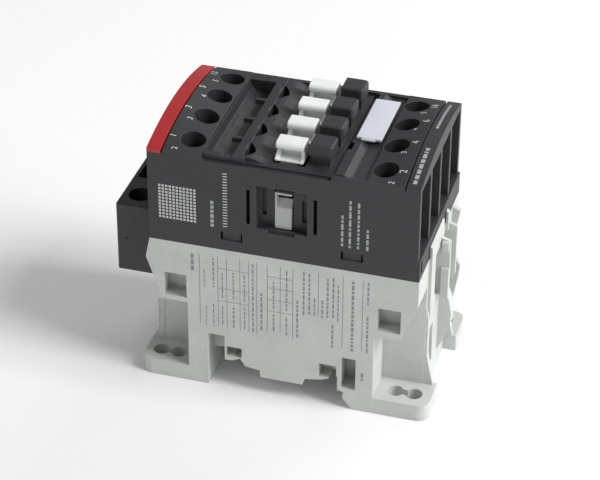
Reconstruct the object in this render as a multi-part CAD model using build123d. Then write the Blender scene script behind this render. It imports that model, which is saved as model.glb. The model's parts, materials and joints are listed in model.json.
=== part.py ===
"""Three-pole contactor with one built-in auxiliary pole.

Frame, in millimetres: the origin is the centre of the fixing-hole pattern on
the mounting plane. +X runs from the line side (coil terminals) to the load
side, +Y across the poles, +Z from the mounting plane to the front.
"""
import os

from build123d import *

# ---- overall sizes -------------------------------------------------------
WIDTH = 45.0
HALF_W = WIDTH / 2
HOUSING_HALF = 35.7
SPLIT_Z = 43.8
DECK_Z = 71.0
ARCH = 3.0
INNER_ARCH = 0.7
FLOOR_Z = 70.2
CAP_TOP = 76.5
CAP_T = 3.2
CHAMBER_Y = 19.2

# ---- poles and terminals -------------------------------------------------
POLE_PITCH = 10.9
POLES = [-1.5 * POLE_PITCH, -0.5 * POLE_PITCH, 0.5 * POLE_PITCH, 1.5 * POLE_PITCH]
TERMINAL_X = 25.2
WELL_R = 3.3
ENTRY_X = 31.6
ENTRY_LOW = 50.0
STRIP_Z = 50.0
STRIP_T = 1.2
CLAMP_Z = 55.2
CLAMP_T = 1.4
HEAD_R = 3.0
HEAD_H = 2.6
SHANK_R = 1.75
SHANK_LOW = 48.8

# ---- contact carrier and its stroke --------------------------------------
STROKE = 4.6
OVERTRAVEL = 1.2
TIP_X = 10.0
TIP_TOP = STRIP_Z + STRIP_T + 0.8
BRIDGE_TIP_Z = TIP_TOP + STROKE - OVERTRAVEL + 0.02
BRIDGE_Z = BRIDGE_TIP_Z + 0.7
BRIDGE_T = 1.0
CARRIER_HALF = 2.2
CARRIER_TOP = 66.0
WINDOW_TOP = 63.6
HOOK_PITCH = 10.0
HOOKS = [-1.5 * HOOK_PITCH, -0.5 * HOOK_PITCH, 0.5 * HOOK_PITCH, 1.5 * HOOK_PITCH]
HOOK_X0 = -3.1
HOOK_X1 = 4.3
HOOK_TOP = 75.6

# ---- central recess of the front -----------------------------------------
RECESS_X0 = -21.4
RECESS_X1 = 21.8
BAR_X0 = -13.5
BAR_X1 = -11.0
BAR_TOP = 71.4
HOLE_PITCH = 10.1
HOLE_OFFSET = -1.2
WALL_TOP = 69.7
SEAT_X0 = 12.8
CAP_X0 = 5.7
CAP_X1 = 11.9

# ---- magnet --------------------------------------------------------------
CORE_W = 36.0
CORE_D = 14.0
CORE_Z0 = 12.2
CORE_Z1 = 33.6
CORE_YOKE = 6.0
LIMB_HALF = 5.0
ARMATURE_Z0 = CORE_Z1 + STROKE + 0.1
ARMATURE_T = 5.0

# ---- base, feet and rail seat --------------------------------------------
FOOT_X0 = -39.2
FOOT_X1 = 39.8
FOOT_T = 4.8
FOOT_Y = 11.5
HOLE_X_IN = 30.0
HOLE_X_OUT = 35.0
HOLE_Y = 17.5
HOLE_R = 2.25
RAIL_X0 = -20.2
RAIL_X1 = 15.3
RAIL_SEAT_Z = 7.8
LATCH_HALF = 8.6
LATCH_Z0 = 1.4
LATCH_Z1 = 6.2
LATCH_TRAVEL = 2.6
RAIL_WIRE_R = 0.6

# ---- coil terminal block -------------------------------------------------
COIL_X0 = -46.2
COIL_X1 = -35.9
COIL_HALF = 18.5
COIL_Z0 = 29.7
COIL_Z1 = 49.8
COIL_TERM_X = -41.4
COIL_TERM_Y = 12.4
COIL_CLAMP_Z = 36.8
COIL_SHANK_LOW = 33.3
TAB_Y0 = 8.6
TAB_Y1 = 10.6


def block(x0, x1, y0, y1, z0, z1):
    """A box given by its two corners."""
    size = Box(x1 - x0, y1 - y0, z1 - z0)
    return size.moved(Location(((x0 + x1) / 2, (y0 + y1) / 2, (z0 + z1) / 2)))


def post(x, y, z0, z1, r):
    """An upright cylinder."""
    return Cylinder(r, z1 - z0).moved(Location((x, y, (z0 + z1) / 2)))


def side_profile(points, y0, y1):
    """A closed outline in X and Z, extruded from y0 to y1."""
    outline = make_face(Polyline(*[(x, 0, z) for x, z in points], close=True))
    return extrude(outline.moved(Location((0, y0, 0))), y1 - y0, dir=(0, 1, 0))


def end_profile(points, x0, x1):
    """A closed outline in Y and Z, extruded from x0 to x1."""
    outline = make_face(Polyline(*[(0, y, z) for y, z in points], close=True))
    return extrude(outline.moved(Location((x0, 0, 0))), x1 - x0, dir=(1, 0, 0))


def arched(x0, x1, z0, half_w=HALF_W, drop=0.0):
    """A block whose front is crowned across the poles."""
    radius = (HALF_W**2 + ARCH**2) / (2 * ARCH)
    centre_z = DECK_Z + ARCH - radius
    crown = Cylinder(radius - drop, x1 - x0, rotation=(0, 90, 0))
    crown = crown.moved(Location(((x0 + x1) / 2, 0, centre_z)))
    return crown & block(x0, x1, -half_w, half_w, z0, DECK_Z + ARCH + 1)


def crown_section(x, sagitta):
    """Crowned cross-section of the housing's front at one X."""
    corners = [(x, HALF_W, DECK_Z), (x, HALF_W, 61.0), (x, -HALF_W, 61.0), (x, -HALF_W, DECK_Z)]
    lines = Polyline(*corners)
    arc = ThreePointArc(corners[3], (x, 0, DECK_Z + sagitta), corners[0])
    return make_face(lines + arc)


def plateau(x_outer, x_inner):
    """Front beside the wells: fully crowned outside, almost flat inside."""
    return loft([crown_section(x_outer, ARCH), crown_section(x_inner, INNER_ARCH)])


def sides(shape):
    """The shape and its mirror image across the X-Z plane."""
    return [shape, shape.mirror(Plane.XZ)]


def coil_wire(radius, wire, turns, height, x, y, z):
    """A compression spring standing on z, with its wire inside the height."""
    free = height - wire
    path = Helix(pitch=free / turns, height=free, radius=radius)
    start = Plane(origin=path @ 0, z_dir=path % 0)
    body = sweep(start * Circle(wire / 2), path=path, is_frenet=True)
    return body.moved(Location((x, y, z + wire / 2)))


# ---- grey base -----------------------------------------------------------
def fixing_slot(side_x, y):
    """Two round holes joined by a neck, through a foot."""
    cut = post(side_x * HOLE_X_IN, y, -1, FOOT_T + 1, HOLE_R)
    cut += post(side_x * HOLE_X_OUT, y, -1, FOOT_T + 1, HOLE_R)
    low, high = sorted((side_x * HOLE_X_IN, side_x * HOLE_X_OUT))
    return cut + block(low, high, y - 1.1, y + 1.1, -1, FOOT_T + 1)


def base_outline():
    """Side view of the base without its feet."""
    return [
        (-35.7, 43.8), (-36.9, 37.8), (-35.5, 33.8), (-33.4, 28.2), (-34.4, 25.4),
        (-36.6, 12.0), (-36.6, 0.0), (RAIL_X0, 0.0), (RAIL_X0, 8.7), (-13.6, 8.9), (-11.4, 10.0),
        (-10.0, RAIL_SEAT_Z), (-6.0, 7.2), (-5.8, 5.1), (5.8, 5.1), (6.4, 7.1), (10.8, RAIL_SEAT_Z),
        (RAIL_X1, 9.7), (RAIL_X1, 5.4), (17.0, 5.1), (16.7, 3.1), (19.2, 0.0), (36.2, 0.0),
        (36.2, 43.8),
    ]


def foot_slab(x0, x1, corner_x):
    """One foot plate on the near side, with a rounded outer corner."""
    slab = block(x0, x1, -HALF_W, -HALF_W + FOOT_Y, 0, FOOT_T)
    outer = slab.edges().filter_by(Axis.Z).filter_by_position(Axis.X, corner_x - 0.1, corner_x + 0.1)
    return fillet(outer.sort_by(Axis.Y)[0:1], 3.0)


def load_recess():
    """Open corner above a load-side foot, under a slanted shoulder."""
    points = [
        (24.9, FOOT_T), (24.9, 24.4), (31.8, 24.9), (36.4, 36.4), (42.0, 36.4), (42.0, FOOT_T),
    ]
    return side_profile(points, -HALF_W - 1, -HALF_W + 10.0)


def line_recess():
    """Open corner above a line-side foot."""
    points = [(-42.0, FOOT_T), (-42.0, 25.3), (-25.7, 25.3), (-25.7, FOOT_T)]
    return side_profile(points, -HALF_W - 1, -HALF_W + 10.0)


def rear_pockets():
    """Shallow moulded pockets in the near side wall."""
    cuts = [
        block(RAIL_X0, -15.6, -23, -17.0, 6.0, 16.5),
        block(-15.3, -10.9, -23, -19.2, 10.2, 13.3),
        block(10.2, 15.0, -23, -18.5, 8.8, 13.0),
        block(16.3, 20.2, -23, -16.5, 6.4, 16.2),
    ]
    for x0 in (-32.1, 25.6):
        cuts.append(block(x0, x0 + 6.2, -23, -18.2, 26.7, 33.8))
    return cuts


def snap_plate(low, thick, y0, y1):
    """Flat tongue in front of the housing's lip, seen on the load side."""
    outer = 36.3 + thick
    points = [(36.0, low), (36.0, SPLIT_Z), (36.3, SPLIT_Z), (36.3, 47.6), (outer, 47.2), (outer, low)]
    return side_profile(points, y0, y1)


def load_clips():
    """Snap tongues, stepped ribs and rounded ears on the load-side end."""
    clips = [
        snap_plate(25.4, 0.7, -11.4, -7.0),
        snap_plate(41.4, 0.4, -7.1, 3.0),
        snap_plate(41.4, 0.7, 6.4, 7.8),
        block(37.2, 39.0, -1.2, 0.2, 39.7, 42.6),
        block(37.2, 39.3, -1.2, 0.2, 25.4, 34.4),
    ]
    for y in (0.0, 7.7):
        rib = [(36.0, 25.4), (36.0, 43.6), (39.2, 42.4), (39.2, 27.4), (38.4, 25.4)]
        clips.append(side_profile(rib, y, y + 1.1))
    wedge = [(36.0, 36.0), (36.0, 43.7), (38.4, 42.6), (37.8, 39.0), (36.6, 36.0)]
    clips.append(side_profile(wedge, 14.9, 16.1))
    near_ear = [(36.0, 28.0), (37.6, 25.6), (39.0, 22.0), (39.8, 18.0), (39.6, 14.5), (38.4, 10.5), (36.0, 5.0)]
    clips.append(side_profile(near_ear, 2.6, 6.2))
    far_ear = [(36.0, 29.6), (39.0, 29.4), (39.8, 28.2), (39.4, 24.0), (38.0, 16.0), (36.0, 12.0)]
    clips.append(side_profile(far_ear, 10.9, 12.4))
    return clips


def load_hollows():
    """Shallow and deep hollows between the snap tongue and the first rib."""
    return [
        block(35.0, 36.4, -7.0, 0.0, 26.4, 41.4),
        block(34.4, 36.4, -6.8, -2.4, 42.0, 43.2),
        block(33.7, 36.4, -7.0, -1.8, 26.4, 36.8),
        block(35.0, 36.3, 1.1, 7.7, 27.4, 40.6),
    ]


def line_flare():
    """Curved gusset joining a line-side foot to the end wall."""
    return side_profile(
        [(-36.0, 4.0), (-39.0, 4.0), (-38.6, 6.0), (-37.4, 8.6), (-36.9, 12.0), (-36.9, 20.0), (-35.2, 24.0)],
        -12.6, -11.2,
    )


def rail_wire(radius=RAIL_WIRE_R):
    """Straight spring wire across the rail seat."""
    return Cylinder(radius, 43.6, rotation=(90, 0, 0)).moved(Location((-12.5, 0, 9.75)))


def base_housing():
    """Grey base: shell, feet, rail seat, fixed hook, latch tunnel."""
    body = side_profile(base_outline(), -HALF_W, HALF_W)
    body -= block(-33.0, 33.8, -20.9, 20.9, 38.0, 50)
    body -= block(-24.0, 23.2, -20.3, 20.3, 18.0, 50)
    body -= block(-18.4, 18.4, -15.0, 15.0, 11.0, 50)
    body -= block(-31.6, 33.0, -10.9, 10.9, 12.0, 50)
    body -= block(-40, -35.8, -COIL_HALF - 0.1, COIL_HALF + 0.1, COIL_Z0 - 0.1, 50)
    body += block(-38.2, -36.0, -10.5, 10.5, 0, 17.5)
    body -= block(-40.0, RAIL_X0 + 1, -LATCH_HALF - 0.2, LATCH_HALF + 0.2, 1.2, 6.4)
    body += block(-32.2, -30.6, -2.0, 2.0, 3.4, 7.0)
    gusset = [(36.0, FOOT_T), (38.8, FOOT_T), (36.9, 14.0), (36.9, 26.0), (36.0, 30.0)]
    for near in (load_recess(), line_recess()):
        for cut in sides(near):
            body -= cut
    for slab in (foot_slab(FOOT_X0, -25.0, FOOT_X0), foot_slab(24.0, FOOT_X1, FOOT_X1)):
        for part in sides(slab):
            body += part
    for rib in sides(side_profile(gusset, -12.4, -10.6)):
        body += rib
    for flare in sides(line_flare()):
        body += flare
    for clip in load_clips():
        body += clip
    body -= block(35.0, 36.3, -8.6, -3.4, 6.5, 19.0)
    for hollow in load_hollows():
        body -= hollow
    for pocket in rear_pockets():
        for cut in sides(pocket):
            body -= cut
    for y in (-HOLE_Y, HOLE_Y):
        body -= fixing_slot(-1, y)
        body -= fixing_slot(1, y)
    for slot in sides(block(-36.5, -31.0, TAB_Y0 - 0.15, TAB_Y1 + 0.15, 33.0, 34.3)):
        body -= slot
    body -= rail_wire(RAIL_WIRE_R + 0.02)
    hook = [(17.0, 9.0), (17.0, 3.6), (14.6, 3.6), (13.2, 5.0), (13.2, 6.2), (15.5, 6.2), (15.5, 9.0)]
    body += side_profile(hook, -9.0, 9.0)
    return body


# ---- dark pole housing ---------------------------------------------------
def terminal_cuts(y, side_x):
    """Wire entry, terminal pocket and screw well of one terminal."""
    def span(a, b):
        return sorted((side_x * a, side_x * b))

    x0, x1 = span(ENTRY_X, 37.0)
    entry = block(x0, x1, y - 4.7, y + 4.7, ENTRY_LOW, 70.0)
    x0, x1 = span(20.4, 32.0)
    entry += block(x0, x1, y - 4.2, y + 4.2, STRIP_Z + STRIP_T + 0.01, 60.4)
    x0, x1 = span(6.4, 31.0)
    entry += block(x0, x1, y - 3.75, y + 3.75, STRIP_Z - 0.01, STRIP_Z + STRIP_T + 0.02)
    entry += post(side_x * TERMINAL_X, y, 60.0, 78.0, WELL_R)
    return entry + post(side_x * TERMINAL_X, y, 44.4, 51.0, 2.2)


def side_window():
    """Near-side window where the carrier's driver shows."""
    cut = block(-6.7, 6.7, -23, -20.3, 52.2, 64.9)
    cut += block(-CARRIER_HALF - 0.25, CARRIER_HALF + 0.25, -21.3, -17, 46.9, 63.5)
    cut += block(-5.8, -4.6, -21, -19.4, 55.2, 64.9)
    cut += block(4.8, 6.0, -21, -19.4, 54.6, 61.2)
    return cut + block(-3.6, 3.4, -23, -21.8, 51.2, 52.4)


def side_slots():
    """Narrow vent slots and snap tongues in the near side wall."""
    cuts = []
    for x in (-8.9, 8.8):
        cuts.append(block(x - 0.5, x + 0.5, -23, -19.6, 53.0, 63.3))
    for x in (-13.4, 18.5):
        cuts.append(block(x - 2.95, x + 2.95, -23, -22.1, 46.9, 49.4))
        cuts.append(block(x - 2.95, x - 2.4, -23, -20.9, 46.9, 49.4))
        cuts.append(block(x + 2.4, x + 2.95, -23, -20.9, 46.9, 49.4))
    return cuts


def pole_housing():
    """Dark housing with wells, pole chambers and wire entries."""
    body = block(-HOUSING_HALF, HOUSING_HALF, -HALF_W, HALF_W, SPLIT_Z, 62.0)
    body += block(-HOUSING_HALF, HOUSING_HALF, -HALF_W, HALF_W, 61.0, FLOOR_Z)
    body += arched(-HOUSING_HALF, -32.0, 61.0) + arched(32.0, HOUSING_HALF, 61.0)
    body += plateau(-32.0, RECESS_X0) + plateau(32.0, RECESS_X1)
    body += block(35.0, 36.2, -HALF_W, HALF_W, SPLIT_Z, ENTRY_LOW)
    body += block(SEAT_X0, 22, -HALF_W, -HALF_W + 1.2, 60, DECK_Z - 0.1)
    body += block(-22, 22, HALF_W - 1.2, HALF_W, 60, DECK_Z - 0.1)
    body -= block(-20.9, SEAT_X0, -23, -HALF_W + 1.3, WALL_TOP, 80)
    body -= block(RECESS_X0, RECESS_X1, -HALF_W + 1.2, HALF_W - 1.2, 66.6, 80)
    body -= block(-20.0, 20.0, -10.9, 10.9, 43, 46.2)
    body -= block(-7.0, 7.0, -18.4, 18.4, 43, 49.0)
    for y in POLES:
        low, high = max(y - 4.75, -CHAMBER_Y), min(y + 4.75, CHAMBER_Y)
        body -= block(-18.4, 18.4, low, high, STRIP_Z + STRIP_T + 0.01, 67)
        body -= block(-6.0, 6.0, low, high, 48.9, 55)
        for side_x in (-1, 1):
            body -= terminal_cuts(y, side_x)
    body -= block(-2.45, 2.45, -CHAMBER_Y, CHAMBER_Y, 46.9, 67)
    for cut in sides(side_window()):
        body -= cut
    for slot in side_slots():
        for cut in sides(slot):
            body -= cut
    body -= arched(-HOUSING_HALF - 1, -31.95, DECK_Z - 1.6) - arched(-40, -30, 60, drop=1.2)
    body -= arched(31.95, HOUSING_HALF + 1, DECK_Z - 1.6) - arched(30, 40, 60, drop=1.2)
    for x0 in (-31.95, 31.5):
        body -= arched(x0, x0 + 0.45, DECK_Z - 1.6) - arched(-40, 40, 60, drop=0.9)
    body -= block(34.2, 37.0, -21.3, -19.7, 45.4, 49.2)
    return body


def edge_strip(x0, x1):
    """Crowned strip across one end of the front."""
    return (arched(x0, x1, DECK_Z - 1.6) - arched(-40, 40, 60, drop=1.15)) & block(
        x0, x1, -HALF_W, HALF_W, 60, 80
    )


# ---- front cover ---------------------------------------------------------
def latch_cap(y):
    """T-shaped cap on a narrower post, for an add-on block to grip."""
    cap = block(CAP_X0, CAP_X1, y - 3.05, y + 3.05, CAP_TOP - CAP_T, CAP_TOP)
    cap = fillet(cap.edges().filter_by(Axis.Z).sort_by(Axis.X)[2:4], 1.2)
    cap = fillet(cap.edges().group_by(Axis.Z)[-1], 0.6)
    return cap + block(CAP_X0 + 0.6, CAP_X1 - 0.9, y - 1.9, y + 3.0, 69.0, CAP_TOP - CAP_T + 0.4)


def label_seat():
    """Raised seat beside the caps, dished towards the load-side wells."""
    seat = block(13.3, 21.6, -21.1, 21.1, 66.8, DECK_Z + 0.1)
    dish = Cylinder(8.0, 60, rotation=(90, 0, 0)).moved(Location((20.2, 0, DECK_Z + 6.75)))
    return seat - dish


def seat_cuts():
    """Tool notches and the parting slot along the label seat."""
    cuts = block(12.5, 14.2, -8.6, -5.0, 67.4, 80)
    cuts += block(12.5, 14.2, 17.6, 20.6, 67.4, 80)
    return cuts + block(12.8, 13.25, -6.0, 18.5, 68.6, 80)


def d_hole(y):
    """Half-round opening beside the dividing bar."""
    hole = Cylinder(3.9, 8).moved(Location((-12.7, y, 69.5)))
    return hole & block(BAR_X1, -8.0, y - 3.6, y + 3.6, 60, 80)


def bar_land():
    """Ground beside the bar: level with it, then falling to the floor."""
    top = BAR_TOP - 0.1
    points = [
        (BAR_X1 - 0.2, 69.9), (BAR_X1 - 0.2, top), (-9.6, top), (-8.4, top - 0.15), (-7.2, top - 0.5),
        (-6.0, top - 0.9), (-4.8, FLOOR_Z), (-4.8, 69.9),
    ]
    return side_profile(points, -20.1, 21.1)


def scoop_rib(y):
    """Thin tongue reaching from the bar over the valley."""
    return block(-16.4, BAR_X0 + 0.1, y - 0.55, y + 0.55, BAR_TOP - 1.4, BAR_TOP - 0.1)


def line_scoop():
    """Concave valley between the line-side plateau and the bar."""
    fill = block(RECESS_X0 + 0.03, BAR_X0, -21.2, 21.2, 66.7, DECK_Z - 0.05)
    points = [
        (-21.2, DECK_Z), (-20.5, 68.9), (-19.4, 67.7), (-17.6, 67.2), (BAR_X0 + 0.1, 67.1), (BAR_X0 + 0.1, DECK_Z),
    ]
    return fill - side_profile(points, -19.6, 19.0)


def front_cover():
    """Insert closing the middle of the front."""
    body = block(BAR_X0, RECESS_X1 - 0.1, -21.2, 21.2, 66.7, FLOOR_Z)
    body += line_scoop()
    body += block(BAR_X0, BAR_X1, -21.2, 21.2, 66.9, BAR_TOP)
    body += block(BAR_X0, BAR_X1 + 0.6, -21.2, -20.0, 66.9, BAR_TOP)
    body += bar_land()
    body += label_seat()
    for k in (-1, 0, 1):
        body += scoop_rib(k * HOLE_PITCH + HOLE_OFFSET)
    body += block(-20.9, -16.2, -21.2, -19.6, 66.9, BAR_TOP)
    body += block(-16.2, BAR_X0, 18.4, 21.1, 66.9, BAR_TOP)
    for y in HOOKS:
        body += latch_cap(y)
        body -= block(HOOK_X0 - 0.6, HOOK_X1 + 0.6, y - 3.8, y + 3.4, 60, 80)
        body -= Cylinder(6.0, 7.0, rotation=(0, 105, 0)).moved(Location((-6.6, y, FLOOR_Z + 6.0)))
    for k in (-1.5, -0.5, 0.5, 1.5):
        body -= d_hole(k * HOLE_PITCH + HOLE_OFFSET)
    return body - seat_cuts()


def label_plate():
    """Pale marker plate with a small tab at its near end."""
    plate = block(14.05, 20.6, -3.1, 17.1, DECK_Z + 0.12, DECK_Z + 0.75)
    return plate + block(15.4, 19.0, -3.7, -3.0, DECK_Z + 0.12, DECK_Z + 0.6)


# ---- terminals -----------------------------------------------------------
def screw(x, y, head_z, low_z):
    """Captive slotted screw with a pan head."""
    head = post(x, y, head_z, head_z + HEAD_H, HEAD_R)
    head = fillet(head.edges().group_by(Axis.Z)[-1], 0.5)
    head -= block(x - 0.45, x + 0.45, y - 4, y + 4, head_z + 1.6, head_z + 4)
    head -= block(x - 2.0, x + 2.0, y - 0.4, y + 0.4, head_z + 1.4, head_z + 4)
    shank = post(x, y, low_z, head_z + 0.1, SHANK_R)
    return head + chamfer(shank.edges().group_by(Axis.Z)[0], 0.4)


def clamp(x, y, z, half=3.9):
    """Square clamp washer with turned-down lips, gripped by the head."""
    plate = block(x - half, x + half, y - half, y + half, z + 0.4, z + CLAMP_T)
    for lip in (-1, 1):
        edge = x + lip * (half - 0.4)
        plate += block(edge - 0.4, edge + 0.4, y - half, y + half, z, z + 0.6)
    return plate - post(x, y, z - 1, z + 3, SHANK_R + 0.02)


def fixed_contact(y, side_x):
    """Terminal plate running in to a silver tip beside the gap."""
    x0, x1 = sorted((side_x * 6.6, side_x * 30.8))
    strip = block(x0, x1, y - 3.6, y + 3.6, STRIP_Z, STRIP_Z + STRIP_T)
    tip = post(side_x * TIP_X, y, STRIP_Z + STRIP_T - 0.1, TIP_TOP, 1.7)
    return strip + tip - post(side_x * TERMINAL_X, y, 40, 60, SHANK_R + 0.05)


# ---- moving system -------------------------------------------------------
def hook(y):
    """Front hook of the carrier: crossbar, recessed stem and flared foot."""
    bar = block(HOOK_X0, HOOK_X1, y - 2.6, y + 2.2, HOOK_TOP - 2.3, HOOK_TOP)
    bar = fillet(bar.edges().filter_by(Axis.X), 1.0)
    bar = fillet(bar.edges().filter_by(Axis.Z), 0.3)
    stem = block(HOOK_X0 + 0.9, HOOK_X1, y + 0.2, y + 2.2, 70.4, HOOK_TOP - 1.0)
    stem += block(HOOK_X1 - 0.8, HOOK_X1, y - 2.0, y + 2.2, 70.4, HOOK_TOP - 1.0)
    flare = [(y - 3.3, 70.5), (y + 2.2, 70.5), (y + 2.2, 73.2), (y + 0.3, 73.2), (y - 3.3, 70.9)]
    foot = end_profile(flare, HOOK_X0, HOOK_X0 + 1.0) + end_profile(flare, HOOK_X1 - 0.8, HOOK_X1)
    foot += block(HOOK_X0, HOOK_X1, y - 3.3, y + 0.4, 70.5, 70.9)
    leg = block(-CARRIER_HALF, CARRIER_HALF, y - 1.6, y + 1.6, CARRIER_TOP - 0.4, 70.7)
    return bar + stem + foot + leg


def driver_scoop():
    """Hollow of the driver's face: a dark pocket running out in a scoop."""
    scoop = Cylinder(4.2, 4.7, rotation=(0, 90, 0)).moved(Location((0.65, -23.4, 62.0)))
    scoop &= block(-1.7, 3.0, -24, -19, 57.0, 62.3)
    return scoop + block(-1.7, 3.0, -22, -18.9, 60.6, 62.3)


def contact_carrier():
    """Pale carrier: beam across the poles, windows, hooks, armature legs."""
    beam = block(-CARRIER_HALF, CARRIER_HALF, -21.0, 21.0, 52.2, 62.9)
    for end in sides(driver_scoop()):
        beam -= end
    beam -= block(-3, 3, -18.6, 18.6, 62.0, 63)
    beam += block(-CARRIER_HALF, CARRIER_HALF, -18.6, 18.6, 61.9, CARRIER_TOP)
    for y in POLES:
        beam -= block(-4, 4, y - 2.8, y + 2.8, BRIDGE_Z - 0.03, WINDOW_TOP)
    for y in HOOKS:
        beam += hook(y)
    beam += block(-CARRIER_HALF, CARRIER_HALF, -8.0, 8.0, 48.0, 52.4)
    head_z = ARMATURE_Z0 + ARMATURE_T
    beam += block(-15.8, 15.8, -6.4, 6.4, head_z + 0.02, head_z + 1.6)
    beam += block(-3.6, 3.6, -13.4, 13.4, head_z + 0.02, head_z + 1.6)
    return beam + block(-CARRIER_HALF, CARRIER_HALF, -6.4, 6.4, head_z + 1.0, 49.0)


def contact_bridge(y):
    """Moving contact bridge with a tip under each end."""
    bridge = block(-12.2, 12.2, y - 2.4, y + 2.4, BRIDGE_Z, BRIDGE_Z + BRIDGE_T)
    bridge = chamfer(bridge.edges().filter_by(Axis.Z), 0.8)
    for side_x in (-1, 1):
        bridge += post(side_x * TIP_X, y, BRIDGE_TIP_Z, BRIDGE_Z + 0.1, 1.5)
    return bridge


def armature():
    """Laminated armature plate with a stub over the centre limb."""
    plate = block(-CORE_W / 2, CORE_W / 2, -CORE_D / 2, CORE_D / 2, ARMATURE_Z0, ARMATURE_Z0 + ARMATURE_T)
    return chamfer(plate.edges().filter_by(Axis.Y), 0.6)


def fixed_core():
    """E-shaped laminated core standing on its yoke."""
    half = CORE_W / 2
    core = block(-half, half, -CORE_D / 2, CORE_D / 2, CORE_Z0, CORE_Z1)
    for x0 in (-12.2, LIMB_HALF):
        core -= block(x0, x0 + 7.2, -10, 10, CORE_Z0 + CORE_YOKE, CORE_Z1 + 1)
    return core


def coil_bobbin():
    """Square spool round the centre limb, with a pin shelf."""
    low = CORE_Z0 + CORE_YOKE + 0.1
    high = CORE_Z1 - 0.4
    spool = block(-11.9, 11.9, -14.0, 14.0, low, low + 1.2)
    spool += block(-11.9, 11.9, -14.0, 14.0, high - 1.2, high)
    spool += block(-6.2, 6.2, -8.3, 8.3, low, high)
    spool += block(-6.0, 6.0, 14.0, 17.0, high - 1.2, high)
    return spool - block(-LIMB_HALF - 0.15, LIMB_HALF + 0.15, -7.15, 7.15, 10, 40)


def coil_winding():
    """Copper winding between the spool's cheeks."""
    low = CORE_Z0 + CORE_YOKE + 1.35
    high = CORE_Z1 - 1.65
    wind = block(-11.2, 11.2, -13.2, 13.2, low, high)
    wind = fillet(wind.edges().filter_by(Axis.Z), 3.0)
    return wind - block(-6.25, 6.25, -8.35, 8.35, 10, 40)


def core_cushion():
    """Rubber pad under the core."""
    return block(-16.5, 16.5, -6.5, 6.5, 11.05, CORE_Z0 - 0.05)


def control_board():
    """Coil control board with a few components."""
    board = block(-31.0, -29.6, -9.8, 9.8, 20.0, 37.4)
    board += block(-29.7, -26.6, -8.0, -2.6, 24.0, 30.0)
    board += block(-29.7, -27.6, 2.0, 8.0, 22.5, 27.5)
    part = Cylinder(2.0, 4.4, rotation=(0, 90, 0)).moved(Location((-27.6, 4.6, 32.6)))
    return board + part


def arc_plates(side_x):
    """Steel splitter plates beside every gap of one side."""
    plates = []
    for y in POLES:
        for k in range(3):
            x0, x1 = sorted((side_x * 13.4, side_x * 17.8))
            z = 59.2 + 2.2 * k
            low, high = max(y - 4.6, 0.1 - CHAMBER_Y), min(y + 4.6, CHAMBER_Y - 0.1)
            plate = block(x0, x1, low, high, z, z + 0.8)
            plates.append(plate - post(side_x * 13.4, y, z - 1, z + 2, 1.6))
    return Compound(children=plates)


def return_spring(y):
    """Spring between the spool's front cheek and the carrier's crosspiece."""
    low = CORE_Z1 - 0.4
    high = ARMATURE_Z0 + ARMATURE_T
    return coil_wire(2.0, 0.5, 6, high - low - 0.06, 0, y, low + 0.03)


def contact_spring(y):
    """Spring pressing a bridge down in its window."""
    low = BRIDGE_Z + BRIDGE_T
    return coil_wire(1.6, 0.4, 5, WINDOW_TOP - low - 0.06, 0, y, low + 0.03)


# ---- coil terminal block and rail latch ----------------------------------
def coil_terminal_block():
    """Dark block outside the line-side end, with two screw wells."""
    body = block(COIL_X0, COIL_X1, -COIL_HALF, COIL_HALF, COIL_Z0, COIL_Z1)
    body = chamfer(body.edges().filter_by(Axis.Z), 0.3)
    body -= block(-45.2, -34, -4.3, 4.3, 45.0, 55)
    body += post(-43.6, -COIL_HALF, 39.2, 39.8, 0.3)
    for y in (-COIL_TERM_Y, COIL_TERM_Y):
        body -= post(COIL_TERM_X, y, 37.4, 60, 3.25)
        body -= block(-50, -38.0, y - 3.6, y + 3.6, 34.4, 41.6)
        body -= block(-44.6, -37.8, y - 3.6, y + 3.6, 33.0, 42.2)
        body -= post(COIL_TERM_X, y, 30.4, 34, 2.0)
    for slot in sides(block(-38.5, -35.0, TAB_Y0 - 0.15, TAB_Y1 + 0.15, 33.0, 34.3)):
        body -= slot
    return body


def coil_tab(side_y):
    """Terminal plate of the coil block, with an arm running in to the board."""
    y = side_y * COIL_TERM_Y
    plate = block(-44.4, -38.0, y - 3.0, y + 3.0, 33.1, 34.2)
    y0, y1 = sorted((side_y * TAB_Y0, side_y * TAB_Y1))
    plate += block(-38.4, -31.1, y0, y1, 33.1, 34.2)
    return plate - post(COIL_TERM_X, y, 30, 40, SHANK_R + 0.05)


def rail_latch():
    """Sliding latch with a sloped nose and a spring pocket."""
    body = block(-38.9, -17.9, -LATCH_HALF, LATCH_HALF, LATCH_Z0, LATCH_Z1)
    nose = body.edges().filter_by(Axis.Y).sort_by(Axis.X)[-2:].sort_by(Axis.Z)[0]
    body = chamfer(nose, 1.6)
    body -= block(-32.3, -24.6, -2.4, 2.4, 2.4, 10)
    return body - block(-38.0, -37.0, -4.0, 4.0, 0, 10)


def latch_spring():
    """Spring between the base's stop and the latch's pocket wall."""
    spring = coil_wire(1.1, 0.35, 7, 5.8, 0, 0, 0)
    return spring.rotate(Axis.Y, 90).moved(Location((-30.5, 0, 4.4)))


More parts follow.
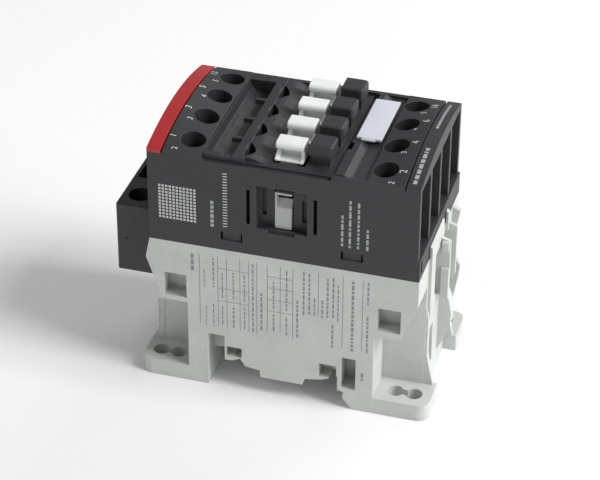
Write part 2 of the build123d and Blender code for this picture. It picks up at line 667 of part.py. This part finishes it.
def main():
    """Build every piece and write it to its own file."""
    pieces = {
        "base_housing": base_housing(),
        "pole_housing": pole_housing(),
        "front_cover": front_cover(),
        "accent_strip": edge_strip(-HOUSING_HALF, -32.0),
        "end_strip": edge_strip(32.0, HOUSING_HALF),
        "label_plate": label_plate(),
        "coil_terminal_block": coil_terminal_block(),
        "contact_carrier": contact_carrier(),
        "armature": armature(),
        "fixed_core": fixed_core(),
        "coil_bobbin": coil_bobbin(),
        "coil_winding": coil_winding(),
        "core_cushion": core_cushion(),
        "control_board": control_board(),
        "arc_plates_line": arc_plates(-1),
        "arc_plates_load": arc_plates(1),
        "return_spring_near": return_spring(-10.8),
        "return_spring_far": return_spring(10.8),
        "rail_latch": rail_latch(),
        "latch_spring": latch_spring(),
        "rail_wire": rail_wire(),
    }
    for k, y in enumerate(POLES, 1):
        pieces[f"contact_bridge_{k}"] = contact_bridge(y)
        pieces[f"contact_spring_{k}"] = contact_spring(y)
        for side, side_x in (("line", -1), ("load", 1)):
            x = side_x * TERMINAL_X
            pieces[f"fixed_contact_{side}_{k}"] = fixed_contact(y, side_x)
            pieces[f"clamp_{side}_{k}"] = clamp(x, y, CLAMP_Z)
            pieces[f"screw_{side}_{k}"] = screw(x, y, CLAMP_Z + CLAMP_T + 0.02, SHANK_LOW)
    for name, side_y in (("a1", -1), ("a2", 1)):
        y = side_y * COIL_TERM_Y
        pieces[f"coil_tab_{name}"] = coil_tab(side_y)
        pieces[f"coil_clamp_{name}"] = clamp(COIL_TERM_X, y, COIL_CLAMP_Z, half=2.9)
        pieces[f"coil_screw_{name}"] = screw(COIL_TERM_X, y, COIL_CLAMP_Z + CLAMP_T + 0.02, COIL_SHANK_LOW)
    os.makedirs("parts", exist_ok=True)
    for name, shape in pieces.items():
        export_step(shape, f"parts/{name}.step")


main()
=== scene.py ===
"""Looks of the compact contactor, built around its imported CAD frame.

Blender works in metres. A length times MM, and a name ending in _mm, is in
millimetres, and so are the outlines of the printed marks.
"""

import json
import math
import random

import bmesh
import bpy
from mathutils import Matrix, Vector


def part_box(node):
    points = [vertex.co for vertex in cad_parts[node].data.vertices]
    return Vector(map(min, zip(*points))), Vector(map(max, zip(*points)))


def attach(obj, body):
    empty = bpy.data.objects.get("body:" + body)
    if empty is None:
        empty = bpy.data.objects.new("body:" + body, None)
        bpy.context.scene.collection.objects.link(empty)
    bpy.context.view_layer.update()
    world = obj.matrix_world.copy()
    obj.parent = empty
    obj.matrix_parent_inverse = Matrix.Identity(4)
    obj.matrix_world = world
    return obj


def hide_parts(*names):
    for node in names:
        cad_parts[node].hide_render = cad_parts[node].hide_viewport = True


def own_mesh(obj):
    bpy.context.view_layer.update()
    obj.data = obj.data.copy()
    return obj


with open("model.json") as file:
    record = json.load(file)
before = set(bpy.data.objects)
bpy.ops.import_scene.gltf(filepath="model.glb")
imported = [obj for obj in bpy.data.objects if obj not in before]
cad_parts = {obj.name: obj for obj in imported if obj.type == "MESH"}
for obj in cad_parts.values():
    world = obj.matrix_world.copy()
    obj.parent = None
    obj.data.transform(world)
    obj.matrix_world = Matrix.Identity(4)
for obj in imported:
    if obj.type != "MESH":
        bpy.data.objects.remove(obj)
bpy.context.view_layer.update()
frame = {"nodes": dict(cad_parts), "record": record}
NODES = frame["nodes"]
MM = 0.001
BODY = "base"
NEAR_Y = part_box("pole_housing")[0].y
COVER_LOW_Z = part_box("front_cover")[0].z


# ---- node helpers -----------------------------------------------------------
class Tree:
    """Small wrapper that builds a material's node tree."""

    def __init__(self, name):
        self.material = bpy.data.materials.new(name)
        self.material.use_nodes = True
        self.nodes = self.material.node_tree.nodes
        self.links = self.material.node_tree.links
        self.nodes.clear()
        self.out = self.nodes.new("ShaderNodeOutputMaterial")
        self.shader = self.nodes.new("ShaderNodeBsdfPrincipled")
        self.link(self.shader.outputs[0], self.out.inputs[0])
        coord = self.nodes.new("ShaderNodeTexCoord")
        self.position = coord.outputs["Object"]

    def link(self, a, b):
        self.links.new(a, b)

    def new(self, kind, **inputs):
        node = self.nodes.new(kind)
        for key, value in inputs.items():
            node.inputs[key.replace("_", " ")].default_value = value
        return node

    def scaled(self, vector):
        mapping = self.new("ShaderNodeMapping")
        mapping.inputs["Scale"].default_value = vector
        self.link(self.position, mapping.inputs["Vector"])
        return mapping.outputs[0]

    def noise(self, size_mm, detail=2.0, rough=0.5, stretch=(1, 1, 1)):
        """Noise whose features are about size_mm across."""
        scale = 1.0 / (size_mm * MM)
        node = self.new("ShaderNodeTexNoise", Scale=1.0, Detail=detail, Roughness=rough)
        self.link(self.scaled([scale * s for s in stretch]), node.inputs["Vector"])
        return node.outputs["Fac"]

    def pits(self, size_mm):
        """Distance to the nearest of scattered points about size_mm apart."""
        node = self.new("ShaderNodeTexVoronoi", Scale=1.0)
        self.link(self.scaled([1.0 / (size_mm * MM)] * 3), node.inputs["Vector"])
        return node.outputs["Distance"]

    def bands(self, direction, pitch_mm, distortion):
        """Fine parallel lines pitch_mm apart."""
        wave = self.new("ShaderNodeTexWave", Scale=1.0, Distortion=distortion)
        wave.bands_direction = direction
        waves_per_unit = 20.0
        scale = 2 * math.pi / (pitch_mm * MM) / waves_per_unit
        self.link(self.scaled([scale] * 3), wave.inputs["Vector"])
        return wave.outputs["Fac"]

    def span(self, value, low, high, out_low=0.0, out_high=1.0):
        node = self.nodes.new("ShaderNodeMapRange")
        node.inputs["From Min"].default_value = low
        node.inputs["From Max"].default_value = high
        node.inputs["To Min"].default_value = out_low
        node.inputs["To Max"].default_value = out_high
        self.link(value, node.inputs["Value"])
        return node.outputs["Result"]

    def math(self, operation, a, b):
        node = self.nodes.new("ShaderNodeMath")
        node.operation = operation
        for socket, value in zip(node.inputs, (a, b)):
            if isinstance(value, (int, float)):
                socket.default_value = value
            else:
                self.link(value, socket)
        return node.outputs[0]

    def mix(self, factor, a, b):
        node = self.nodes.new("ShaderNodeMix")
        node.data_type = "RGBA"
        sockets = (node.inputs["Factor"], node.inputs[6], node.inputs[7])
        for socket, value in zip(sockets, (factor, a, b)):
            if isinstance(value, (tuple, list)):
                socket.default_value = (*value[:3], 1.0)
            elif isinstance(value, float):
                socket.default_value = value
            else:
                self.link(value, socket)
        return node.outputs[2]

    def height(self):
        """Height above the mounting plane, in metres."""
        parts = self.nodes.new("ShaderNodeSeparateXYZ")
        self.link(self.position, parts.inputs[0])
        return parts.outputs["Z"]

    def edges(self, radius_mm):
        """1 along convex and concave edges, 0 on flats."""
        bevel = self.new("ShaderNodeBevel", Radius=radius_mm * MM)
        bevel.samples = 6
        geometry = self.nodes.new("ShaderNodeNewGeometry")
        dot = self.nodes.new("ShaderNodeVectorMath")
        dot.operation = "DOT_PRODUCT"
        self.link(bevel.outputs[0], dot.inputs[0])
        self.link(geometry.outputs["Normal"], dot.inputs[1])
        return self.span(dot.outputs["Value"], 0.995, 0.88)

    def openness(self, distance_mm):
        """1 in open places, lower in corners and recesses, where dirt collects and shade falls."""
        node = self.new("ShaderNodeAmbientOcclusion", Distance=distance_mm * MM)
        node.samples = 8
        return node.outputs["AO"]

    def surface(self, colour, roughness, height, strength, distance_mm, bevel_mm=0.0):
        """Plugs colour, roughness and bump into the shader."""
        self.link(colour, self.shader.inputs["Base Color"])
        self.link(roughness, self.shader.inputs["Roughness"])
        bump = self.new("ShaderNodeBump", Strength=strength, Distance=distance_mm * MM)
        self.link(height, bump.inputs["Height"])
        if bevel_mm:
            bevel = self.new("ShaderNodeBevel", Radius=bevel_mm * MM)
            bevel.samples = 8
            self.link(bevel.outputs[0], bump.inputs["Normal"])
        self.link(bump.outputs[0], self.shader.inputs["Normal"])
        return self.material


def shade(colour, factor):
    return tuple(min(1.0, c * factor) for c in colour)


# ---- materials --------------------------------------------------------------
PLASTIC_IOR = 1.49
CLOUD_MM = 9.0
FLECK_MM = 0.6
FINE_SPECK_MM = 0.34
COARSE_SPECK_MM = 0.42
# Size of the lighter edges and of their patches: partly rubbed wear, partly a painted edge highlight.
EDGE_WEAR_HIGHLIGHT_MM = 0.26
EDGE_WEAR_HIGHLIGHT_PATCH_MM = 1.6
# Reach of the corner darkening, which is partly dust and partly painted shade.
DUST_AND_SHADE_REACH_MM = 2.5


def moulded(
    name, colour, rough=0.5, grain_mm=0.22, grain=0.35,
    edge_wear_highlight=1.25, dust_and_shade_keep=0.86, bevel_mm=0.22, speck=1.0, painted_shade_below=None,
):
    """Moulded thermoplastic: spark texture, flow mottling, light specks, rubbed edges that also carry a
    painted edge highlight.

    The last argument, if given, is (low_mm, high_mm, factor), a painted shade: below that height band
    the piece is inside its housing, and takes the colour times factor in place of the shade there.
    """
    t = Tree(name)
    cloud = t.noise(CLOUD_MM, 3.0, 0.55)
    fleck = t.noise(FLECK_MM, 3.0, 0.6)
    tone = t.mix(t.span(cloud, 0.35, 0.65), shade(colour, 0.95), shade(colour, 1.06))
    tone = t.mix(t.span(fleck, 0.60, 0.78, 0.0, 0.35), tone, shade(colour, 1.16))
    fine = t.span(t.noise(FINE_SPECK_MM, 1.0), 0.52, 0.72)
    tone = t.mix(fine, tone, shade(colour, 1.0 + 0.22 * speck))
    coarse = t.span(t.noise(COARSE_SPECK_MM, 1.0, stretch=(1, 1.3, 0.8)), 0.66, 0.74)
    tone = t.mix(coarse, tone, shade(colour, 1.0 + 0.7 * speck))
    # Edges lighten here: partly rubbed wear, partly a painted highlight where edges catch the light.
    edge_wear_and_highlight = t.math("MULTIPLY", t.edges(EDGE_WEAR_HIGHLIGHT_MM), t.span(t.noise(EDGE_WEAR_HIGHLIGHT_PATCH_MM, 2.0), 0.30, 0.65, 0.35, 1.0))
    tone = t.mix(edge_wear_and_highlight, tone, shade(colour, edge_wear_highlight))
    # Corners and recesses darken towards 0.55 of the colour: partly dust, partly painted shade.
    dust_and_shade = t.span(t.openness(DUST_AND_SHADE_REACH_MM), 0.9, 0.35, 0.0, 1.0 - dust_and_shade_keep)
    tone = t.mix(dust_and_shade, tone, shade(colour, 0.55))
    # Painted shade: below the height band the colour darkens, standing in for the shade inside the housing.
    if painted_shade_below:
        low, high, factor = painted_shade_below
        painted_inner_shade = t.span(t.height(), low * MM, high * MM, 1.0, 0.0)
        tone = t.mix(painted_inner_shade, tone, shade(colour, factor))
    spark = t.noise(grain_mm, 3.0, 0.65)
    height = t.math("ADD", spark, t.math("MULTIPLY", t.pits(grain_mm * 1.7), 0.5))
    blotches = t.math("ADD", t.math("MULTIPLY", cloud, 0.6), t.math("MULTIPLY", fleck, 0.4))
    roughness = t.span(blotches, 0.3, 0.7, rough - 0.05, rough + 0.07)
    t.shader.inputs["IOR"].default_value = PLASTIC_IOR
    return t.surface(tone, roughness, height, grain, 0.05, bevel_mm)


def metal(name, colour, rough=0.3, brush=(1, 1, 1), size_mm=0.4, stain=0.7, bevel_mm=0.12):
    """Plated or bare metal: brushed grain, stains and brighter edges."""
    t = Tree(name)
    brushed = t.noise(size_mm, 4.0, 0.6, brush)
    cloud = t.noise(3.5, 3.0, 0.6)
    tone = t.mix(t.span(cloud, 0.38, 0.66), shade(colour, stain), colour)
    tone = t.mix(t.span(brushed, 0.3, 0.7, 0.0, 0.4), tone, shade(colour, 1.18))
    tone = t.mix(t.math("MULTIPLY", t.edges(0.18), 0.6), tone, shade(colour, 1.35))
    roughness = t.span(brushed, 0.3, 0.7, rough - 0.07, rough + 0.13)
    t.shader.inputs["Metallic"].default_value = 1.0
    return t.surface(tone, roughness, brushed, 0.25, 0.02, bevel_mm)


def laminated(name, colour, sheet_mm=0.5):
    """Stack of thin steel sheets, seen edge on across Y."""
    t = Tree(name)
    lines = t.bands("Y", sheet_mm, 0.0)
    oil = t.noise(4.0, 4.0, 0.6)
    tone = t.mix(t.span(lines, 0.0, 0.35), shade(colour, 0.45), colour)
    tone = t.mix(t.span(oil, 0.4, 0.7, 0.0, 0.5), tone, shade(colour, 0.7))
    t.shader.inputs["Metallic"].default_value = 1.0
    return t.surface(tone, t.span(oil, 0.3, 0.7, 0.3, 0.5), lines, 0.4, 0.05)


def wound(name, colour, wire_mm=0.3):
    """Enamelled wire turns running round the Z axis."""
    t = Tree(name)
    lines = t.bands("Z", wire_mm, 0.15)
    tone = t.mix(t.span(t.noise(2.0, 2.0), 0.35, 0.65), shade(colour, 0.8), shade(colour, 1.15))
    tone = t.mix(t.span(lines, 0.0, 0.3), shade(colour, 0.3), tone)
    t.shader.inputs["Metallic"].default_value = 1.0
    t.shader.inputs["Coat Weight"].default_value = 0.5
    return t.surface(tone, t.span(lines, 0, 1, 0.42, 0.26), lines, 0.7, 0.1)


def printed(name, colour, rough=0.5):
    """Pad-printed ink with slight unevenness."""
    t = Tree(name)
    patch = t.noise(0.5, 3.0, 0.6)
    tone = t.mix(t.span(patch, 0.35, 0.7), shade(colour, 0.82), colour)
    return t.surface(tone, t.span(patch, 0.3, 0.7, rough - 0.05, rough + 0.1), patch, 0.2, 0.01)


def board_material():
    """Glass-epoxy board with a faint weave and darker ground between tracks."""
    t = Tree("board_green")
    weave = t.noise(0.3, 1.0, 0.5, (1, 1, 4))
    tracks = t.span(t.noise(1.4, 2.0), 0.48, 0.52)
    tone = t.mix(tracks, (0.02, 0.13, 0.05), (0.04, 0.21, 0.09))
    return t.surface(tone, t.span(weave, 0.3, 0.7, 0.3, 0.45), weave, 0.3, 0.03)


DARK = (0.0262, 0.0265, 0.0290)
GREY = (0.522, 0.539, 0.522)
PALE = (0.790, 0.812, 0.795)
RED = (0.375, 0.018, 0.020)
LABEL = (0.625, 0.636, 0.712)
BLACK = (0.022, 0.022, 0.024)
RUBBER = (0.020, 0.020, 0.021)
# Painted shade for the pale carrier inside the housing: lowest and highest height in mm, and the colour
# factor below them.
PAINTED_SHADE_INSIDE_HOUSING = (63.0, 67.0, 0.52)

MATERIALS = {
    "housing_dark": moulded("housing_dark", DARK, 0.50, edge_wear_highlight=2.6),
    "base_grey": moulded("base_grey", GREY, 0.52, edge_wear_highlight=1.12, dust_and_shade_keep=0.8, speck=0.25),
    "accent_red": moulded("accent_red", RED, 0.42, grain=0.2, edge_wear_highlight=1.2, speck=0.4),
    "label_pale": moulded("label_pale", LABEL, 0.38, grain=0.12, edge_wear_highlight=1.08, speck=0.15),
    "carrier_pale": moulded(
        "carrier_pale", PALE, 0.42, grain=0.16, edge_wear_highlight=1.08, dust_and_shade_keep=0.8, speck=0.2, painted_shade_below=PAINTED_SHADE_INSIDE_HOUSING
    ),
    "screw_steel": metal("screw_steel", (0.66, 0.65, 0.60), 0.28, (1, 6, 1)),
    "contact_copper": metal("contact_copper", (0.70, 0.40, 0.24), 0.30, (6, 1, 1)),
    "core_steel": laminated("core_steel", (0.40, 0.40, 0.42)),
    "spring_steel": metal("spring_steel", (0.50, 0.50, 0.52), 0.25, size_mm=0.2),
    "bobbin_black": moulded("bobbin_black", BLACK, 0.45),
    "winding_copper": wound("winding_copper", (0.55, 0.22, 0.09)),
    "board_green": board_material(),
    "cushion_rubber": moulded("cushion_rubber", RUBBER, 0.8, grain_mm=0.5, grain=0.5),
}
INKS = {
    "ink_white": printed("ink_white", (0.62, 0.63, 0.63)),
    "ink_pale": printed("ink_pale", (0.40, 0.41, 0.41)),
    "ink_grey": printed("ink_grey", (0.25, 0.26, 0.27)),
}
SLOT_OF = {row["node"]: row["material_slot"] for row in frame["record"]["subparts"]}


def dress_nodes():
    """Gives every CAD node the material of its slot."""
    for name, node in NODES.items():
        node.data.materials.clear()
        node.data.materials.append(MATERIALS[SLOT_OF[name]])


def piece_from(name, bm, material, body=BODY):
    """Turns a bmesh into a piece that rides on a body."""
    mesh = bpy.data.meshes.new(name)
    bmesh.ops.recalc_face_normals(bm, faces=bm.faces)
    bm.to_mesh(mesh)
    bm.free()
    mesh.materials.append(material)
    piece = bpy.data.objects.new(name, mesh)
    bpy.context.scene.collection.objects.link(piece)
    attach(piece, body)
    return piece


# ---- printed marks ----------------------------------------------------------
# Marks are thin closed plates sunk a little into the surface they lie on.
# Outlines are (a, b) pairs in millimetres: X and Z on the near wall, X and Y
# on the front.
INK_DEPTH = 0.03 * MM
INK_PROUD = 0.012 * MM
RULE_HALF = 0.09
ABOVE_FRONT = 100.0 * MM
PROBE_REACH = 40.0 * MM
CAP_HEIGHT_SHARE = 0.7


def add_prism(bm, outline, place):
    """A thin closed plate over an outline, put in space by place(a, b, rise)."""
    lower = [bm.verts.new(place(a, b, -INK_DEPTH)) for a, b in outline]
    upper = [bm.verts.new(place(a, b, INK_PROUD)) for a, b in outline]
    bm.faces.new(lower[::-1])
    bm.faces.new(upper)
    count = len(outline)
    for i in range(count):
        j = (i + 1) % count
        bm.faces.new((lower[i], lower[j], upper[j], upper[i]))


def on_near_face(a, b, rise):
    return Vector((a * MM, NEAR_Y - rise, b * MM))


def on_front(a, b, rise):
    """A point on the crowned front, found by a ray from above."""
    start = Vector((a * MM, b * MM, ABOVE_FRONT))
    for name in ("end_strip", "pole_housing"):
        hit, point, _, _ = NODES[name].ray_cast(start, Vector((0, 0, -1)), distance=PROBE_REACH)
        if hit:
            return point + Vector((0, 0, rise))
    return Vector((a * MM, b * MM, COVER_LOW_Z + rise))


def rectangle(x0, x1, z0, z1):
    return [(x0, z0), (x1, z0), (x1, z1), (x0, z1)]


def dash_run(rng, x, z0, z1, thick, longest=2.4, gap=0.42):
    """Dashes of uneven length in a row, standing for a line of print."""
    shortest, least_rest = 0.6, 0.4
    runs, z = [], z0
    while z < z1 - least_rest:
        length = min(rng.uniform(shortest, longest), z1 - z)
        runs.append(rectangle(x - thick / 2, x + thick / 2, z, z + length))
        z += length + gap
    return runs


def marks_piece(name, outlines, place, ink):
    bm = bmesh.new()
    for outline in outlines:
        add_prism(bm, outline, place)
    return piece_from(name, bm, INKS[ink])


def dot_grid():
    """A regular square grid of dots on the dark near wall."""
    count, pitch, half = 11, 0.94, 0.31
    corner_x, corner_z = -33.0, 50.6
    dots = []
    for i in range(count):
        for j in range(count):
            x, z = corner_x + pitch * (i + 0.5), corner_z + pitch * (j + 0.5)
            dots.append(rectangle(x - half, x + half, z - half, z + half))
    marks_piece("print_dot_grid", dots, on_near_face, "ink_white")


def scale_ticks():
    """A column of short slanted ticks."""
    count, pitch, lowest = 20, 0.83, 50.9
    x0, x1, thick, slant = -15.6, -14.4, 0.28, 0.12
    ticks = []
    for k in range(count):
        z = lowest + k * pitch
        ticks.append([(x0, z), (x1, z + slant), (x1, z + slant + thick), (x0, z + thick)])
    marks_piece("print_scale_ticks", ticks, on_near_face, "ink_white")


def near_dark_marks():
    """Dot grid, slanted ticks and dashed lines on the dark wall."""
    rng = random.Random(11)
    dot_grid()
    scale_ticks()
    short_line = dash_run(rng, -18.5, 50.4, 58.2, 0.9, 1.3, 0.35)
    marks_piece("print_short_line", short_line, on_near_face, "ink_pale")
    lines = []
    for x, z0, z1 in ((15.9, 51.0, 60.6), (17.9, 50.8, 64.8), (20.1, 50.9, 64.5), (22.5, 50.8, 57.0)):
        lines += dash_run(rng, x, z0, z1, 0.6, 2.0)
    marks_piece("print_text_lines", lines, on_near_face, "ink_pale")


# Upright rules of the table: X, lowest and highest Z.
UPRIGHT_RULES = [
    (-22.2, 19.3, 41.4), (-17.2, 19.1, 41.3), (-14.8, 19.0, 41.5), (-11.2, 19.0, 41.6), (-8.85, 19.1, 41.5),
    (-6.65, 19.0, 41.6), (-3.8, 20.5, 41.4), (-0.3, 20.7, 41.5), (3.1, 19.3, 41.6), (9.9, 27.9, 41.7),
    (16.45, 19.3, 41.8), (21.7, 19.3, 41.4),
]
# Level rules: from X, to X, and their heights.
LEVEL_RULES = [(-17.2, -8.85, (37.8, 31.6, 27.7)), (-3.8, 3.1, (37.9, 34.4, 30.7, 27.1))]
# Dashed lines: X, lowest and highest Z, thickness.
BASE_LINES = [
    (-24.1, 35.8, 41.0, 0.8), (-20.9, 31.5, 37.1, 0.3), (-20.5, 19.2, 25.4, 0.3), (-18.4, 31.5, 40.8, 0.4),
    (-18.5, 19.0, 26.6, 0.35), (-16.0, 20.0, 26.8, 0.35), (-16.0, 28.6, 36.4, 0.35), (-13.0, 19.6, 26.4, 0.5),
    (-13.0, 28.9, 37.2, 0.4), (-10.0, 19.8, 26.7, 0.4), (-10.0, 28.6, 37.0, 0.4), (-7.7, 19.5, 40.8, 0.45),
    (-5.4, 20.4, 32.4, 0.5), (-2.1, 20.9, 26.2, 0.5), (-2.1, 28.0, 37.2, 0.4), (1.4, 20.2, 26.4, 0.4),
    (1.4, 28.0, 41.0, 0.4), (4.3, 20.1, 32.1, 0.5), (6.0, 27.6, 41.2, 0.5), (7.5, 28.2, 41.4, 0.5),
    (8.9, 28.0, 34.2, 0.4), (11.0, 27.8, 33.4, 0.5), (12.4, 28.1, 40.3, 0.5), (13.9, 28.4, 41.2, 0.5),
    (15.2, 27.5, 38.7, 0.4), (13.8, 18.8, 26.7, 0.5), (19.1, 18.8, 41.1, 0.7), (23.1, 19.0, 31.4, 0.5),
    (23.1, 34.3, 41.3, 0.5), (22.0, 9.8, 12.8, 0.7),
]


def base_marks():
    """Faint ruled table and dashed lines on the grey near wall."""
    rng = random.Random(23)
    rules = [rectangle(x - RULE_HALF, x + RULE_HALF, z0, z1) for x, z0, z1 in UPRIGHT_RULES]
    for x0, x1, heights in LEVEL_RULES:
        rules += [rectangle(x0, x1, z - RULE_HALF, z + RULE_HALF) for z in heights]
    marks_piece("print_base_table", rules, on_near_face, "ink_grey")
    dashes = []
    for x, z0, z1, thick in BASE_LINES:
        dashes += dash_run(rng, x, z0, z1, thick, 1.6, 0.4)
    marks_piece("print_base_lines", dashes, on_near_face, "ink_grey")


def drawn_number(name, text, x, y, height):
    """Plain digits laid on the front, reading towards the far side."""
    curve = bpy.data.curves.new(name, "FONT")
    curve.body = text
    curve.size = height * MM / CAP_HEIGHT_SHARE
    curve.align_x = "CENTER"
    curve.align_y = "CENTER"
    curve.resolution_u = 4
    source = bpy.data.objects.new(name, curve)
    bpy.context.scene.collection.objects.link(source)
    bpy.context.view_layer.update()
    flat = bpy.data.meshes.new_from_object(source)
    bpy.data.objects.remove(source)
    bm = bmesh.new()
    bm.from_mesh(flat)
    bmesh.ops.remove_doubles(bm, verts=bm.verts, dist=0.001 * MM)
    grown = bmesh.ops.extrude_face_region(bm, geom=list(bm.faces))
    raised = {v for v in grown["geom"] if isinstance(v, bmesh.types.BMVert)}
    for vert in bm.verts:
        rise = INK_PROUD if vert in raised else -INK_DEPTH
        vert.co = on_front(x - vert.co.y / MM, y + vert.co.x / MM, rise)
    return piece_from(name, bm, INKS["ink_white"])


def number_column(side, texts, number_x, number_height, index_x, index_drop):
    """Terminal numbers of one side, each with a small index number."""
    first_index, index_height = 2, 1.5
    for k, (text, y) in enumerate(zip(texts, (-16.6, -4.1, 7.3, 17.0))):
        drawn_number(f"print_{side}_number_{k}", text, number_x, y, number_height)
        drawn_number(f"print_{side}_index_{k}", str(k + first_index), index_x, y - index_drop, index_height)


def strip_marks():
    """Plain dashes along the end strip."""
    rng = random.Random(5)
    dashes = dash_run(rng, 33.6, -20.6, -6.6, 1.0, 1.7, 0.5)
    dashes += dash_run(rng, 33.5, 3.2, 19.4, 0.7, 1.2, 0.35)
    marks_piece("print_end_strip", dashes, on_front, "ink_pale")


# ---- springs ----------------------------------------------------------------
POINTS_PER_TURN = 28
WIRE_SIDES = 10
DEAD_TURNS = 1.0
DEAD_PITCH = 1.05
ALONG_X, ALONG_Z = 0, 2


def coil_rise(turn, turns, wire, height):
    """Height of the wire's centre: closed turns at both ends, open ones between."""
    closed = DEAD_TURNS * DEAD_PITCH * wire
    open_turns = turns - 2 * DEAD_TURNS
    open_rise = height - wire - 2 * closed
    if turn < DEAD_TURNS:
        return wire / 2 + closed * turn / DEAD_TURNS
    if turn > turns - DEAD_TURNS:
        return height - wire / 2 - closed * (turns - turn) / DEAD_TURNS
    return wire / 2 + closed + open_rise * (turn - DEAD_TURNS) / open_turns


def coil_ring(bm, turn, centre, radius, wire, along, level):
    """One ring of points round the wire, turn turns along the coil."""
    first, second = (along + 1) % 3, (along + 2) % 3
    angle = 2 * math.pi * turn
    ring = []
    for k in range(WIRE_SIDES):
        around = 2 * math.pi * k / WIRE_SIDES
        reach = radius + wire / 2 * math.cos(around)
        point = centre.copy()
        point[along] = level + wire / 2 * math.sin(around)
        point[first] += reach * math.cos(angle)
        point[second] += reach * math.sin(angle)
        ring.append(bm.verts.new(point))
    return ring


def coil_spring(name, node, body, wire_mm, turns, along):
    """A wound spring in the place of its CAD node."""
    low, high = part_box(node)
    wire = wire_mm * MM
    height = high[along] - low[along]
    across = (along + 1) % 3
    radius = (high[across] - low[across]) / 2 - wire / 2
    bm = bmesh.new()
    rings = []
    for i in range(int(turns * POINTS_PER_TURN) + 1):
        turn = i / POINTS_PER_TURN
        level = low[along] + coil_rise(turn, turns, wire, height)
        rings.append(coil_ring(bm, turn, (low + high) / 2, radius, wire, along, level))
    for a, b in zip(rings, rings[1:]):
        for k in range(WIRE_SIDES):
            n = (k + 1) % WIRE_SIDES
            bm.faces.new((a[k], a[n], b[n], b[k]))
    bm.faces.new(rings[0][::-1])
    bm.faces.new(rings[-1])
    for face in bm.faces:
        face.smooth = True
    piece = piece_from(name, bm, MATERIALS["spring_steel"], body)
    axis = Vector((0, 0, 0))
    axis[along] = 1.0
    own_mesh(piece)
    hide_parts(node)


def fit_springs():
    """All the springs that a joint shortens."""
    for end in ("near", "far"):
        node, joint = f"return_spring_{end}", "carrier_slide"
        coil_spring(f"wound_{node}", node, "base", 0.5, 7, ALONG_Z)
    for k in range(1, 5):
        node, joint = f"contact_spring_{k}", f"bridge_{k}_overtravel"
        coil_spring(f"wound_{node}", node, "carrier", 0.4, 6, ALONG_Z)
    node, joint = "latch_spring", "latch_slide"
    coil_spring(f"wound_{node}", node, "base", 0.35, 8, ALONG_X)


# ---- studio -----------------------------------------------------------------
SENSOR = 36.0
PICTURE_WIDTH = 600.0
FOCAL_PIXELS = 2265.58
CAMERA_DISTANCE = 599.805 * MM
CAMERA_ANGLES = (15.919, 33.470, 0.488)
CAMERA_TARGET = Vector((1.3, 0.0, 38.0)) * MM
CAMERA_OFFSET = (-2.739 * MM, -1.807 * MM)
LIGHT_TARGET = (0, 0, 0.035)
WORLD_STRENGTH = 0.29
FLOOR_HALF = 3.0
FLOOR_Z = -0.05 * MM


def aim_camera():
    """Camera at the azimuth, elevation and roll above, looking at the target."""
    azimuth, elevation, roll = (math.radians(a) for a in CAMERA_ANGLES)
    level = math.cos(elevation)
    back = Vector((math.sin(azimuth) * level, -math.cos(azimuth) * level, math.sin(elevation)))
    right = Vector((math.cos(azimuth), math.sin(azimuth), 0.0))
    up = back.cross(right)
    right, up = (
        math.cos(roll) * right + math.sin(roll) * up,
        math.cos(roll) * up - math.sin(roll) * right,
    )
    camera = bpy.data.objects.new("camera", bpy.data.cameras.new("camera"))
    bpy.context.scene.collection.objects.link(camera)
    camera.data.sensor_width = SENSOR
    camera.data.lens = FOCAL_PIXELS / PICTURE_WIDTH * SENSOR
    camera.data.clip_start = 0.01
    place = CAMERA_TARGET + CAMERA_DISTANCE * back + CAMERA_OFFSET[0] * right + CAMERA_OFFSET[1] * up
    turn = Matrix((right, up, back)).transposed().to_4x4()
    camera.matrix_world = Matrix.Translation(place) @ turn
    bpy.context.scene.camera = camera


def add_floor():
    """Plain pale floor just under the feet."""
    mesh = bpy.data.meshes.new("floor")
    corners = [
        (-FLOOR_HALF, -FLOOR_HALF, FLOOR_Z),
        (FLOOR_HALF, -FLOOR_HALF, FLOOR_Z),
        (FLOOR_HALF, FLOOR_HALF, FLOOR_Z),
        (-FLOOR_HALF, FLOOR_HALF, FLOOR_Z),
    ]
    mesh.from_pydata(corners, [], [(0, 1, 2, 3)])
    floor = bpy.data.objects.new("floor", mesh)
    bpy.context.scene.collection.objects.link(floor)
    t = Tree("floor_pale")
    cloud = t.noise(120.0, 2.0)
    tone = t.mix(cloud, (0.90, 0.90, 0.90), (0.93, 0.93, 0.93))
    mesh.materials.append(t.surface(tone, t.span(cloud, 0, 1, 0.7, 0.8), cloud, 0.02, 0.1))


def add_light(name, place, size, power):
    """A soft rectangular light aimed at the object."""
    data = bpy.data.lights.new(name, "AREA")
    data.shape = "RECTANGLE"
    data.size, data.size_y = size
    data.energy = power
    light = bpy.data.objects.new(name, data)
    bpy.context.scene.collection.objects.link(light)
    light.location = place
    aim = Vector(LIGHT_TARGET) - Vector(place)
    light.rotation_euler = aim.to_track_quat("-Z", "Y").to_euler()


def light_studio():
    """Key from the load side, a low light beside it, weak fill, and a rim."""
    add_light("key_right", (1.85, -0.20, 1.90), (1.1, 1.1), 62.0)
    add_light("low_right", (2.30, -0.60, 0.42), (0.8, 0.8), 15.0)
    add_light("fill_left", (-1.60, -1.20, 1.40), (1.8, 1.8), 7.0)
    add_light("rim_back", (0.90, 2.00, 1.30), (1.8, 1.2), 17.0)
    settings = bpy.context.scene.view_settings
    settings.view_transform = "Standard"
    settings.look = "None"
    world = bpy.data.worlds.new("studio")
    world.use_nodes = True
    background = world.node_tree.nodes["Background"]
    background.inputs["Color"].default_value = (1, 1, 1, 1)
    background.inputs["Strength"].default_value = WORLD_STRENGTH
    bpy.context.scene.world = world


dress_nodes()
near_dark_marks()
base_marks()
number_column("line", ("1", "3", "5", "13"), -30.4, 1.75, -28.6, 4.4)
number_column("load", ("2", "4", "6", "14"), 29.8, 1.9, 27.9, 4.6)
strip_marks()
fit_springs()
aim_camera()
add_floor()
light_studio()
